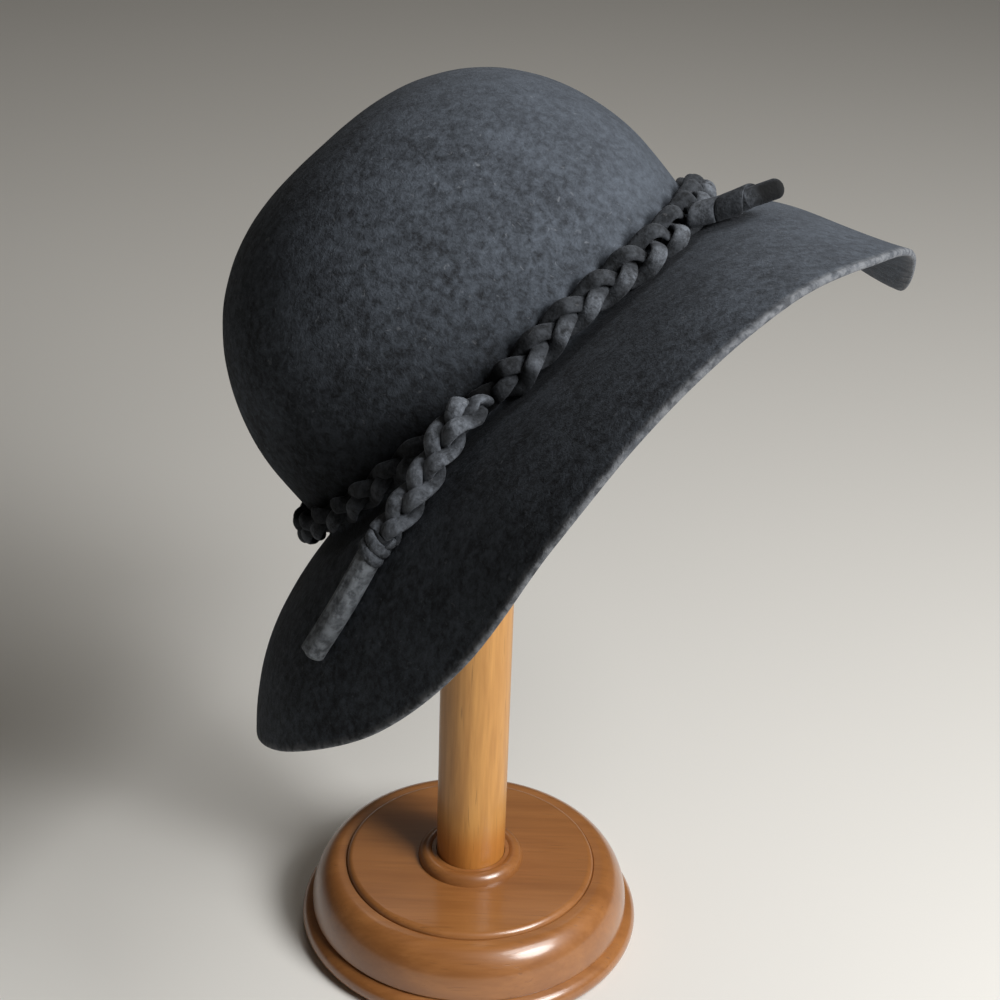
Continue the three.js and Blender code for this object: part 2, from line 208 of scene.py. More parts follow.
# Inputs of the strand tree for the near plait and for the strips wound round the tails
NEAR_PLAIT_PHASE = -0.06
NEAR_PLAIT = {
    "Turns": 1.55,
    "Side Reach": 3.9 * MM,
    "Lift Reach": 2.4 * MM,
    "Half Width": 3.6 * MM,
    "Half Thickness": 2.0 * MM,
    "Bulge": STRAND_BULGE,
    "Stray": 0.7 * MM,
    "Shade": 0.22,
}
WOUND = {"Lift Rate": 1.0, "Lift Phase": 0.25, "Radial": 1.0}
NEAR_WRAP = {
    **WOUND,
    "Turns": 2.2,
    "Phase": 0.2,
    "Side Reach": 5.0 * MM,
    "Lift Reach": 4.2 * MM,
    "Half Width": 2.5 * MM,
    "Half Thickness": 1.4 * MM,
    "Stray": 0.5 * MM,
}
FRONT_WRAP = {
    **WOUND,
    "Turns": 2.1,
    "Phase": 0.3,
    "Side Reach": 3.9 * MM,
    "Lift Reach": 3.8 * MM,
    "Half Width": 5.6 * MM,
    "Half Thickness": 1.0 * MM,
    "Stray": 0.8 * MM,
    "Shade": 0.85,
}
# Half width, half thickness and groove of the cores inside the wound strips and of the tails' ends
NEAR_CORE = (5.0, 4.2, 0.0)
NEAR_END = (5.0, 4.6, 0.12)
FRONT_CORE = (4.4, 4.3, 0.0)
FRONT_END = (4.3, 4.0, 0.06)
# How squarely those sections are rounded, and the groove's width as a share of the half width
SECTION_FULLNESS = 0.85
GROOVE_WIDTH = 0.3
# Painted light along the near end, as paleness, and the shares of the way where the front end starts to round
# off and would come to a point, and where it turns dark
NEAR_END_LIT_PALENESS = 0.8
FRONT_TIP = (0.8, 1.01)
FRONT_DARK = (0.0, 1 / 2.2)

# Felt: noises by scale, detail, roughness and distortion
HEATHER = (300.0, 4.0, 0.58, 0.35)
MATTING = (950.0, 2.0, 0.6, 0.5)
DRIFT = (48.0, 2.0, 0.5)
FLECKS = (430.0, 1.0, 0.4, 0.8)
# Tones between which the heather turns from dark to pale, a fleck shows, and a cut edge and the painted light
# on the near tail's end turn pale
HEATHER_TONES = (0.22, 0.82)
FLECK_TONES = (0.68, 0.84)
EDGE_AND_LIGHT_TONES = (0.35, 0.65)
# Painted shade: depths between which hollows and deep gaps darken, how far they do, their colour, and that
# of a dark end
HOLLOW_DEPTHS = (0.25, 1.0)
HOLLOW_SHADE = 0.72
GAP_DEPTHS = (1.5, 2.5)
GAP_SHADE = 0.24
CREVICE = (0.002, 0.002, 0.002)
DARK_END = (0.012, 0.0125, 0.013)
# How far the heather turns to its pale wool as painted light where the felt is lit most
PAINTED_LIGHT_SHARE = 0.45
# Depth and strength of the relief, and how matt and how cool the nap is
FELT_RELIEF = (0.9 * MM, 0.7)
FELT_ROUGHNESS = 0.96
NAP_TINT = (0.82, 0.88, 1.0, 1.0)

# Wood: how far the grain and the pores are drawn out, and their noises. The rings' scale comes with a wood.
GRAIN_STRETCH = 0.07
PORE_STRETCH = 0.045
GRAIN_BEND = (22.0, 3.0, 0.55)
GRAIN_RINGS = (2.0, 0.5, 0.8)
GRAIN_FINE = (620.0, 2.0, 0.6)
PORES = (900.0, 2.0, 0.55)
# Tones between which the grain turns from dark to light and pores show, and the rings that pores lie in
GRAIN_TONES = (0.32, 0.78)
PORE_TONES = (0.6, 0.72)
PORE_RINGS = (0.42, 0.6)
PORE_DARKNESS = 0.35
WOOD_RELIEF = (0.12 * MM, 0.5)
# Painted light reflected up from the base onto the post's foot: what its tint leaves of each colour, and the
# heights between which it fades out
BASE_BOUNCE_TINT = (0.87, 0.7, 0.5)
BASE_BOUNCE_HEIGHTS = (50.0 * MM, 68.0 * MM)
# The two woods: axis of the grain, gloss, strength of the pores and scale of the rings, and for the post the
# painted tint of light from the base
BASE_WOOD = {"along": 0, "gloss": 1.0, "pore_strength": 0.3, "ring_scale": 90.0}
POST_WOOD = {"along": 2, "gloss": 0.25, "pore_strength": 0.45, "ring_scale": 210.0, "bounce_tint": BASE_BOUNCE_TINT}

# The turned foot, in millimetres: radii and heights of its mouldings
PLINTH_ROUND = 5.5
PLINTH_END = 65.0
GROOVE = (73.7, 11.3)
SHOULDER_CENTRE = (61.5, 12.5)
SHOULDER_HALF = (13.0, 21.5)
DISC_RADIUS = 58.2
DISC_ROUND = (3.0, 2.6)
DISC_FOOT_GROOVE = 0.5
BEAD_CENTRE_RADIUS = 20.5
BEAD_HALF = (4.1, 5.0)
BEAD_END = 125.0
POST_FIT = 0.3
POST_SOCKET_FLOOR = 12.0
TOP_RADIUS = 45.0
TOP_SUMMIT = 414.3
TOP_UNDERSIDE_BELOW_CENTRE = 20.0
TOP_SOCKET_DEPTH = 25.0
STAND_SEGMENTS = 192
POST_RINGS = 40
# Edges that turn more than this stay sharp
SHARP_ANGLE = math.radians(32)

# Stage: floor, even light, and the soft lights by azimuth, height and distance from where they aim, size and
# colour
FLOOR_HALF = 6.0
FLOOR_DRIFT = (3.0, 2.0, 0.5)
FLOOR_DARKER = 0.97
SKY_COLOUR = (1.0, 0.88, 0.72, 1.0)
LIGHTS_AIM = Vector((0.0, 0.0, 0.2))
DAYLIGHT = (1.0, 0.995, 0.985)
LIGHTS = {
    "key": ((-29.0, 50.0, 1.25), 0.7, DAYLIGHT),
    "window": ((-37.0, 33.0, 1.3), 0.6, DAYLIGHT),
    "back": ((90.0, 55.0, 1.6), 1.0, (1.0, 0.94, 0.85)),
}

# Camera, matched to the photograph
CAMERA_PLACE = Vector((0.00819, -0.86766, 0.72036))
CAMERA_DOWN = math.radians(29.49)
CAMERA_ROLL = math.radians(1.98)
CAMERA_FOCAL_PIXELS = 2309.0
IMAGE_PIXELS = 1000.0
SENSOR_WIDTH = 36.0


def hat_matrix():
    """Turn and move from the hat's own axes to the frame, in millimetres."""
    turn = Euler((HAT_LEAN_BACK, HAT_TIP_OVER, HAT_TURN), "ZYX").to_matrix().to_4x4()
    return Matrix.Translation(HAT_POSITION) @ turn


def to_frame(points):
    """Points in the hat's axes, in millimetres, as points of the frame, in metres."""
    place = np.array(hat_matrix())
    return (np.asarray(points) @ place[:3, :3].T + place[:3, 3]) * MM


def turn_to_frame(ways):
    """Directions in the hat's axes as directions of the frame."""
    return np.asarray(ways) @ np.array(hat_matrix())[:3, :3].T


def unit(ways):
    ways = np.asarray(ways, float)
    return ways / np.linalg.norm(ways, axis=-1, keepdims=True)


def ramp(values, low, high):
    """0 at one value, 1 at another, and straight between them."""
    return np.clip((values - low) / (high - low), 0, 1)


def curve_between(before, here, after, later, t):
    """A smooth curve through four values in a row, at a share of the way from the second to the third."""
    slope = 0.5 * (after - before)
    bend = before - 2.5 * here + 2 * after - 0.5 * later
    twist = 1.5 * (here - after) + 0.5 * (later - before)
    return here + slope * t + bend * t**2 + twist * t**3


def brim_column(name, azimuth):
    """One column of the brim table as a smooth closed function of azimuth in degrees."""
    values = np.array(BRIM_ROWS, float)[:, BRIM_COLUMNS.index(name)]
    count = len(values)
    place = np.mod(np.asarray(azimuth, float) / 360.0, 1.0) * count
    row = np.floor(place).astype(int)
    return curve_between(*(values[(row + k) % count] for k in (-1, 0, 1, 2)), place - row)


def crown_share(height):
    """Size of the crown's ring at a height, as a share of its widest ring."""
    below = 1 - height / CROWN_WIDEST_AT
    above = ramp(height, CROWN_WIDEST_AT, CROWN_HEIGHT)
    wall = 1 - (1 - CROWN_FOOT_SHARE) * below**2
    dome = (1 - above**CROWN_RISE_POWER) ** (1 / CROWN_SHOULDER_POWER)
    return np.where(height < CROWN_WIDEST_AT, wall, dome)


def crown_height_at(share):
    """Height at which the dome has shrunk to a share of its widest ring."""
    above = (1 - share**CROWN_SHOULDER_POWER) ** (1 / CROWN_RISE_POWER)
    return CROWN_WIDEST_AT + (CROWN_HEIGHT - CROWN_WIDEST_AT) * above


def crown_point(azimuth, height):
    angle = np.radians(azimuth)
    height = np.broadcast_to(np.asarray(height, float), angle.shape)
    share = crown_share(height)
    x = CROWN_HALF_LENGTH * share * np.cos(angle) + CROWN_FORWARD_LEAN * height
    return np.stack((x, CROWN_HALF_WIDTH * share * np.sin(angle), height), -1)


def outward(azimuth):
    """Level direction straight out from the crown's oval."""
    angle = np.radians(azimuth)
    way = np.stack((np.cos(angle) / CROWN_HALF_LENGTH, np.sin(angle) / CROWN_HALF_WIDTH, 0 * angle), -1)
    return unit(way)


def section_point(azimuth, out, height):
    """Point in a radial section, given its distance out from the crown's foot and its height."""
    point = crown_point(azimuth, BREAK_RADIUS) + out[..., None] * outward(azimuth)
    point[..., 2] = height
    return point


def break_point(azimuth, share):
    """The turn from crown to brim, an arc from straight down to the brim's leaving slope."""
    turn = np.radians(share * (90 - brim_column("leave", azimuth)))
    return section_point(azimuth, BREAK_RADIUS * (1 - np.cos(turn)), BREAK_RADIUS * (1 - np.sin(turn)))


def brim_width(azimuth):
    return np.hypot(brim_column("reach", azimuth), brim_column("drop", azimuth))


def brim_point(azimuth, along):
    """The brim's section, a smooth curve from the break (along = 0) to the edge (along = 1)."""
    leave = np.radians(brim_column("leave", azimuth))
    fall = np.radians(brim_column("fall", azimuth))
    edge = np.stack((brim_column("reach", azimuth), -brim_column("drop", azimuth)), -1)
    width = brim_width(azimuth)[..., None]
    start = BREAK_RADIUS * np.stack((1 - np.sin(leave), 1 - np.cos(leave)), -1)
    first = start + BRIM_LEAVE_PULL * width * np.stack((np.cos(leave), -np.sin(leave)), -1)
    second = edge - BRIM_FALL_PULL * width * np.stack((np.cos(fall), -np.sin(fall)), -1)
    t = np.broadcast_to(np.asarray(along, float), leave.shape)[..., None]
    at = (1 - t) ** 3 * start + 3 * (1 - t) ** 2 * t * first + 3 * (1 - t) * t**2 * second + t**3 * edge
    return section_point(azimuth, at[..., 0], at[..., 1])


def brim_normal(azimuth, along):
    """Direction straight up off the brim's outer face."""
    turn, step = 1.0, 0.01
    round_way = brim_point(azimuth + turn, along) - brim_point(azimuth - turn, along)
    down_way = brim_point(azimuth, along + step) - brim_point(azimuth, along - step)
    return unit(np.cross(down_way, round_way))


def at_even_steps(line, count, closed=False):
    """Points of a line, with any columns that they carry, at even steps of its way."""
    if closed:
        line = np.concatenate((line, line[:1]))
    run = np.concatenate(([0], np.cumsum(np.linalg.norm(np.diff(line[:, :3], axis=0), axis=1))))
    even = np.linspace(0, run[-1], count, endpoint=not closed)
    return np.stack([np.interp(even, run, column) for column in line.T], -1)


def smooth_through(points, count):
    """A smooth open line through a few points, with the columns that they carry, at even steps."""
    padded = np.concatenate(([2 * points[0] - points[1]], points, [2 * points[-1] - points[-2]]))
    place = np.linspace(0, len(points) - 1, STEPS_BETWEEN_POINTS * len(points))
    row = np.minimum(place.astype(int), len(points) - 2)
    line = curve_between(*(padded[row + k] for k in range(4)), (place - row)[:, None])
    return at_even_steps(line, count)


def tangents(line, closed):
    if closed:
        return unit(np.roll(line, -1, 0) - np.roll(line, 1, 0))
    return unit(np.gradient(line, axis=0))


def route_over_brim(rows, count, lean=(0.0, 0.0)):
    """A route over the brim: its middle line and the way that it faces, which is straight up off the felt or
    leant out from the crown by a share that changes along the route."""
    azimuth, along, lift = np.array(rows, float).T
    normal = brim_normal(azimuth, along)
    share = np.linspace(*lean, len(azimuth))[:, None]
    facing = unit((1 - share) * normal + share * outward(azimuth))
    points = brim_point(azimuth, along) + lift[:, None] * normal
    line = smooth_through(np.concatenate((points, facing), 1), count)
    return line[:, :3], unit(line[:, 3:])


def along_way(rows, count):
    """Values at even stations, from rows of a share of the way and a value."""
    return np.interp(np.linspace(0, 1, count), *np.array(rows).T)


def across_and_up(line, facing, closed=False):
    """Directions to the side of a line and up off it, square to its course."""
    way = tangents(line, closed)
    up = unit(facing - np.sum(facing * way, -1, keepdims=True) * way)
    return np.cross(up, way), up


class Wire:
    """A socket of a node tree, with the arithmetic that the formulas of finishes and strands use."""

    def __init__(self, nodes, socket):
        self.nodes = nodes
        self.socket = socket

    def math(self, operation, *others):
        values = dict(enumerate((self, *others)))
        return self.nodes.node("ShaderNodeMath", {"operation": operation}, values)

    def __add__(self, other):
        return self.math("ADD", other)

    def __sub__(self, other):
        return self.math("SUBTRACT", other)

    def __mul__(self, other):
        return self.math("MULTIPLY", other)

    def __rsub__(self, other):
        return self * -1.0 + other

    __radd__ = __add__
    __rmul__ = __mul__

    def fade(self, low, high):
        """0 up to low, 1 from high on, and smooth between them."""
        values = {"Value": self, "From Min": low, "From Max": high}
        return self.nodes.node("ShaderNodeMapRange", {"interpolation_type": "SMOOTHSTEP"}, values)


class Nodes:
    """A node tree, with one way to add a node."""

    def __init__(self, tree):
        self.tree = tree

    def node(self, kind, settings=None, values=None, out=0):
        """Any node: its type, its settings, which are set first, and the values or links of its sockets."""
        made = self.tree.nodes.new(kind)
        for key, value in (settings or {}).items():
            setattr(made, key, value)
        for key, value in (values or {}).items():
            if isinstance(value, Wire):
                self.tree.links.new(value.socket, made.inputs[key])
            else:
                made.inputs[key].default_value = value
        return Wire(self, made.outputs[out])

    def vectors(self, operation, *values):
        return self.node("ShaderNodeVectorMath", {"operation": operation}, dict(enumerate(values)))


class Finish(Nodes):
    """One material, built from its nodes."""

    def __init__(self, name):
        self.material = bpy.data.materials.new(name)
        self.material.use_nodes = True
        super().__init__(self.material.node_tree)
        self.tree.nodes.clear()
        self.place = self.node("ShaderNodeTexCoord", out="Object")

    def drawn_out(self, axis, stretch):
        """Coordinates drawn out along one axis."""
        scale = [1.0, 1.0, 1.0]
        scale[axis] = stretch
        return self.vectors("MULTIPLY", self.place, scale)

    def mix(self, share, first, second, blend="MIX"):
        """A colour between two colours, or another blend of them."""
        settings = {"data_type": "RGBA", "blend_type": blend}
        return self.node("ShaderNodeMix", settings, {0: share, 6: first, 7: second}, out=2)

    def cloud(self, vector, scale, detail=2.0, roughness=0.5, distortion=0.0):
        """Soft noise from 0 to 1."""
        values = {"Vector": vector, "Scale": scale, "Detail": detail}
        values.update({"Roughness": roughness, "Distortion": distortion})
        return self.node("ShaderNodeTexNoise", None, values)

    def attribute(self, name):
        return self.node("ShaderNodeAttribute", {"attribute_name": name}, out="Fac")

    def surface(self, colour, roughness, bump=None, relief=(0.0, 1.0), **constants):
        """The shader itself. Constants are set on their sockets."""
        values = {"Base Color": colour, "Roughness": roughness}
        if bump is not None:
            raised = {"Height": bump, "Distance": relief[0], "Strength": relief[1]}
            values["Normal"] = self.node("ShaderNodeBump", None, raised)
        values.update({key.replace("_", " "): value for key, value in constants.items()})
        shader = self.node("ShaderNodeBsdfPrincipled", None, values)
        output = self.tree.nodes.new("ShaderNodeOutputMaterial")
        self.tree.links.new(shader.socket, output.inputs["Surface"])
        return self.material


def opaque(colour):
    return (*colour[:3], 1.0)


def wool_felt(name, settings):
    """Charcoal wool felt: a heather of dark and pale wool, stray pale fibres and a matted surface.

    Attributes of the mesh give its painted light, its painted shade, and where it is cut or dark.
    """
    finish = Finish(name)
    heather = finish.cloud(finish.place, *HEATHER)
    matting = finish.cloud(finish.place, *MATTING)
    drift = finish.cloud(finish.place, *DRIFT)
    tone = heather * 0.7 + matting * 0.3 + (drift - 0.5) * 0.3
    wool = finish.mix(tone.fade(*HEATHER_TONES), opaque(settings.dark_wool), opaque(settings.pale_wool))
    fleck = finish.cloud(finish.place, *FLECKS).fade(*FLECK_TONES)
    wool = finish.mix(fleck * settings.fleck_strength, wool, opaque(settings.fleck_wool))
    # Painted light: paler felt towards the front, where light falls most
    wool = finish.mix(finish.attribute("faded") * PAINTED_LIGHT_SHARE, wool, opaque(settings.pale_wool))
    # Painted shade in hollows and gaps, and where shadow falls
    sunk = finish.attribute("sunk")
    depth = sunk.fade(*HOLLOW_DEPTHS) * HOLLOW_SHADE + sunk.fade(*GAP_DEPTHS) * GAP_SHADE
    wool = finish.mix(depth, wool, opaque(CREVICE))
    # Pale where the felt is cut, and painted light along the near tail's end
    edge = finish.attribute("cut_edge") * (0.25 + 0.75 * heather.fade(*EDGE_AND_LIGHT_TONES))
    wool = finish.mix(edge * settings.edge_paleness, wool, opaque(settings.edge_wool))
    wool = finish.mix(finish.attribute("dark_end"), wool, opaque(DARK_END))
    return finish.surface(
        wool,
        FELT_ROUGHNESS,
        heather * 0.55 + matting * 0.45,
        FELT_RELIEF,
        Specular_IOR_Level=0.12,
        Sheen_Weight=settings.nap,
        Sheen_Roughness=0.45,
        Sheen_Tint=NAP_TINT,
    )


def turned_wood(name, light, dark, along, gloss, pore_strength, ring_scale, bounce_tint=None):
    """Lacquered wood: growth rings drawn out along the grain, with fine dark pores.

    A painted tint of light reflected from the base deepens the wood towards its foot.
    """
    finish = Finish(name)
    grain = finish.drawn_out(along, GRAIN_STRETCH)
    bend = finish.cloud(grain, *GRAIN_BEND)
    rings = finish.cloud(grain, ring_scale, *GRAIN_RINGS)
    fine = finish.cloud(grain, *GRAIN_FINE)
    tone = bend * 0.4 + rings * 0.45 + fine * 0.25
    wood = finish.mix(tone.fade(*GRAIN_TONES), opaque(dark), opaque(light))
    pores = finish.cloud(finish.drawn_out(along, PORE_STRETCH), *PORES)
    pore = pores.fade(*PORE_TONES) * rings.fade(*PORE_RINGS)
    wood = finish.mix(pore * pore_strength, wood, opaque([PORE_DARKNESS * c for c in dark]))
    # Painted light reflected up from the base, richer orange towards the post's foot
    if bounce_tint:
        height = finish.node("ShaderNodeSeparateXYZ", None, {0: finish.place}, out=2)
        wood = finish.mix(1.0 - height.fade(*BASE_BOUNCE_HEIGHTS), wood, opaque(bounce_tint), "MULTIPLY")
    return finish.surface(
        wood,
        0.34 + 0.16 * fine,
        1.0 - pore,
        WOOD_RELIEF,
        Specular_IOR_Level=0.45,
        Coat_Weight=gloss,
        Coat_Roughness=0.17,
        Coat_IOR=1.5,
    )


def floor_paint(name, colour):
    """Plain matt paint with a faint drift of tone."""
    finish = Finish(name)
    drift = finish.cloud(finish.place, *FLOOR_DRIFT)
    paint = finish.mix(drift, opaque([FLOOR_DARKER * c for c in colour]), opaque(colour))
    return finish.surface(paint, 0.6, Specular_IOR_Level=0.25)


def object_from_mesh(name, mesh):
    made = bpy.data.objects.new(name, mesh)
    bpy.context.scene.collection.objects.link(made)
    return made


def mesh_object(name, points, faces, smooth=True):
    mesh = bpy.data.meshes.new(name)
    mesh.from_pydata([tuple(p) for p in points], [], faces)
    mesh.validate()
    mesh.polygons.foreach_set("use_smooth", [smooth] * len(mesh.polygons))
    mesh.update()
    return object_from_mesh(name, mesh)


def add_point_attribute(mesh, name, values):
    attribute = mesh.attributes.new(name, "FLOAT", "POINT")
    attribute.data.foreach_set("value", np.asarray(values, np.float32))


def face_outwards(mesh, sharp=None):
    """Turns the faces outwards. Edges that turn more than a given angle become sharp."""
    work = bmesh.new()
    work.from_mesh(mesh)
    bmesh.ops.recalc_face_normals(work, faces=work.faces)
    if sharp:
        for edge in work.edges:
            edge.smooth = edge.calc_face_angle(0.0) < sharp
    work.to_mesh(mesh)
    work.free()


def finish_piece(made, material, slot, *nodes):
    """Gives a piece its finish and its place on the body, and hides the solids that it stands for."""
    made.data.materials.clear()
    made.data.materials.append(material)
    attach(made, "root")
    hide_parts(*nodes)


def skin(rings):
    """Faces between rings of point numbers. A ring that repeats one point closes to a tip."""
    faces = []
    for low, high in zip(rings, rings[1:]):
        for j in range(len(low)):
            n = (j + 1) % len(low)
            faces.append(tuple(dict.fromkeys((low[j], low[n], high[n], high[j]))))
    return faces


def numbered(count, sides):
    """Point numbers of a grid of rings."""
    return np.arange(count * sides).reshape(count, sides).tolist()


def swept(name, line, facing, section, scale=1.0):
    """A section swept along a line in the hat's axes. It lies across the line, with its second coordinate
    along the facing."""
    across, up = across_and_up(line, facing)
    scale = np.broadcast_to(scale, len(line))[:, None, None]
    grid = line[:, None] + scale * section[:, :1] * across[:, None] + scale * section[:, 1:] * up[:, None]
    rings = numbered(*grid.shape[:2])
    faces = skin(rings) + [tuple(rings[0][::-1]), tuple(rings[-1])]
    made = mesh_object(name, to_frame(grid.reshape(-1, 3)), faces)
    face_outwards(made.data)
    return made


def joined(name, pieces):
    """Several meshes as the one mesh of a piece."""
    work = bmesh.new()
    for piece in pieces:
        work.from_mesh(piece.data)
    mesh = bpy.data.meshes.new(name)
    work.to_mesh(mesh)
    work.free()
    for piece in pieces:
        bpy.data.meshes.remove(piece.data)
    return object_from_mesh(name, mesh)


def rolled_section(half_width, half_thickness, groove):
    """Section of a rolled strip: an oval with a groove along the middle of its upper face."""
    turn = np.linspace(0, math.tau, TAIL_SIDES, endpoint=False)
    x = half_width * np.sign(np.cos(turn)) * np.abs(np.cos(turn)) ** SECTION_FULLNESS
    z = half_thickness * np.sin(turn)
    dip = groove * half_thickness * np.exp(-((x / (GROOVE_WIDTH * half_width)) ** 2)) * (np.sin(turn) > 0)
    return np.stack((x, z - dip), -1)


def length_property(name, description, default, least=0.0):
    return bpy.props.FloatProperty(
        name=name, description=description, default=default, min=least, unit="LENGTH"
    )


def power_property(name, description, default):
    return bpy.props.FloatProperty(
        name=name, description=description, default=default, min=0.0, unit="POWER"
    )


def factor_property(name, description, default, least=0.0, most=1.0):
    return bpy.props.FloatProperty(
        name=name, description=description, default=default, min=least, max=most, subtype="FACTOR"
    )


def colour_property(name, description, default):
    return bpy.props.FloatVectorProperty(
        name=name, description=description, default=default, subtype="COLOR", size=3, min=0.0, max=1.0
    )


class FeltSettings(bpy.types.PropertyGroup):
    """Sizes and colours of the felt body."""

    wall: length_property("Wall", "Thickness of the felt", 3.0 * MM, 1.0 * MM)
    ripple: length_property("Ripple", "How far the hand-blocked felt strays from its smooth shape", 0.45 * MM)
    dark_wool: colour_property("Dark wool", "Dark wool of the heather", (0.0135, 0.014, 0.0155))
    pale_wool: colour_property("Pale wool", "Pale wool of the heather", (0.09, 0.105, 0.128))
    fleck_wool: colour_property("Flecks", "Stray pale fibres", (0.24, 0.255, 0.28))
    edge_wool: colour_property("Cut edge", "Paler wool where the felt is cut", (0.2, 0.205, 0.215))
    fleck_strength: factor_property("Fleck strength", "How far the flecks stand out", 0.35)
    edge_paleness: factor_property("Edge paleness", "How pale the cut edge is", 0.65)
    nap: factor_property("Nap", "Sheen of the raised nap", 0.05)
    # Strength of the painted shade low on the crown
    low_crown_shade: factor_property("Low crown shade", "How dark the low crown is", 1.05, most=2.0)


class BandSettings(bpy.types.PropertyGroup):
    """Sizes and colours of the plaited band and its tails."""

    periods: bpy.props.IntProperty(
        name="Periods", description="Plait repeats round the band", default=13, min=6
    )
    spread: length_property("Spread", "How far a strand swings to the side", 4.1 * MM)
    swing: length_property("Swing", "How far a strand rises over the next", 3.0 * MM)
    half_width: length_property("Half width", "Half a strand's width", 3.3 * MM)
    half_thickness: length_property("Half thickness", "Half a strand's thickness", 2.0 * MM)
    tilt: bpy.props.FloatProperty(
        name="Tilt", description="How far the band leans against the crown", default=math.radians(20.0),
        unit="ROTATION",
    )
    stray: length_property("Stray", "How far hand-plaited strands stray", 1.2 * MM)
    skew: factor_property("Skew", "Strands fuller on the crown side, or on the brim side below 0", -0.5, -1.0)
    # Dim and Shade darken the strands as painted shade
    dim: factor_property("Dim", "How much darker the strands are on the crown side", 0.3, -1.0)
    shade: factor_property("Shade", "How dark the strands are throughout", 1.18, most=2.0)
    dark_wool: colour_property("Dark wool", "Dark wool of the strands", (0.02, 0.0207, 0.022))
    pale_wool: colour_property("Pale wool", "Pale wool of the strands", (0.205, 0.227, 0.262))
    fleck_wool: colour_property("Flecks", "Stray pale fibres", (0.36, 0.37, 0.39))
    # The cut edge's wool and paleness also give the painted light along the near tail's end
    edge_wool: colour_property("Cut edge", "Paler wool where a strand is cut", (0.285, 0.31, 0.335))
    fleck_strength: factor_property("Fleck strength", "How far the flecks stand out", 0.5)
    edge_paleness: factor_property("Edge paleness", "How pale the cut edges are", 0.8)
    nap: factor_property("Nap", "Sheen of the raised nap", 0.08)


class StandSettings(bpy.types.PropertyGroup):
    """Sizes and colours of the turned stand."""

    post_radius: length_property("Post radius", "Radius of the post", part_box("stand_post")[1][0])
    foot_radius: length_property("Foot radius", "Radius of the plinth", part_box("stand_base")[1][0])
    base_light: colour_property("Base, light", "Light grain of the base", (0.365, 0.148, 0.042))
    base_dark: colour_property("Base, dark", "Dark grain of the base", (0.24, 0.088, 0.022))
    post_light: colour_property("Post, light", "Light grain of the post", (0.61, 0.31, 0.086))
    post_dark: colour_property("Post, dark", "Dark grain of the post", (0.385, 0.168, 0.039))


class StageSettings(bpy.types.PropertyGroup):
    """Floor and light."""

    floor: colour_property("Floor", "Colour of the plain floor", (0.78, 0.768, 0.735))
    key_power: power_property("Key light", "Power of the main soft light", 9.5)
    window_power: power_property("Window light", "Power of the lower light on the near right", 15.0)
    back_power: power_property("Back light", "Power of the soft light behind", 2.5)
    sky: factor_property("Sky", "Strength of the even light", 0.036)


def settings_of(context, name):
    return getattr(context.scene, "felt_hat_" + name)


def felt_rings(azimuth, wall):
    """Outer face of the felt, from the rounded edge of the brim to just under the top of the crown."""
    inset = 0.5 * wall / brim_width(azimuth)
    rings = [brim_point(azimuth, (1 - s) * (1 - inset)) for s in np.linspace(0, 1, BRIM_RINGS + 1)]
    rings += [break_point(azimuth, 1 - s) for s in np.linspace(0, 1, BREAK_RINGS + 1)[1:]]
    switch = crown_height_at(CROWN_TOP_SHARE)
    heights = list(np.linspace(BREAK_RADIUS, switch, CROWN_WALL_RINGS + 1)[1:])
    shares = np.linspace(CROWN_TOP_SHARE, CROWN_POLE_SHARE, CROWN_TOP_RINGS + 1)[1:]
    heights += [crown_height_at(s) for s in shares]
    return np.array(rings + [crown_point(azimuth, h) for h in heights])


def grid_normals(grid):
    """Directions out of a grid of rings that runs up from the brim's edge."""
    round_way = np.roll(grid, -1, 1) - np.roll(grid, 1, 1)
    up_way = np.gradient(grid, axis=0)
    return unit(np.cross(round_way, up_way))


def blocked_by_hand(rings, reach):
    """How far hand-blocked felt strays at each point: slow waves and small dents."""
    found = []
    for point in rings.reshape(-1, 3):
        place = Vector(point)
        slow = noise.noise(place / SLOW_WAVE)
        small = noise.noise(place / SMALL_DENT + DENT_START)
        found.append(SLOW_SHARE * slow + (1 - SLOW_SHARE) * small)
    return reach * np.array(found).reshape(rings.shape[:2])


def rounded_edge(outer, inner, normals, wall):
    """Rings round the cut edge of the brim, from its underside to its upper face."""
    middle = 0.5 * (outer[0] + inner[0])
    out_way = unit(np.cross(normals[0], np.roll(outer[0], -1, 0) - np.roll(outer[0], 1, 0)))
    out_way = out_way * np.sign(np.sum(out_way * (outer[0] - outer[1]), -1, keepdims=True))
    turns = np.radians(np.linspace(-90, 90, EDGE_RINGS + 2)[1:-1])
    rings = [np.sin(a) * normals[0] + np.cos(a) ** EDGE_FULLNESS * out_way for a in turns]
    return middle + 0.5 * wall * np.array(rings)


def band_ring(settings, count):
    """Points of the band's middle line round the crown, with how full the band is there and how dark."""
    azimuth = np.linspace(0, 360, count, endpoint=False)
    corners, *columns = np.array(BAND_ROWS).T
    girth, slip, shade = (np.interp(azimuth, corners, column) for column in columns)
    depth = settings.swing + settings.half_thickness
    depth += BAND_TILT_ROOM * math.sin(settings.tilt) * (settings.spread + settings.half_width)
    standoff = depth / MM * girth + BAND_CLEARANCE
    ring = crown_point(azimuth, brim_column("band", azimuth) - slip) + standoff[:, None] * outward(azimuth)
    return np.column_stack((ring, girth, shade))


def distance_to(points, line):
    """Distance of each point of a grid from the nearest station of a line."""
    apart = np.full(points.shape[:-1], np.inf)
    for station in line:
        apart = np.minimum(apart, np.linalg.norm(points - station, axis=-1))
    return apart


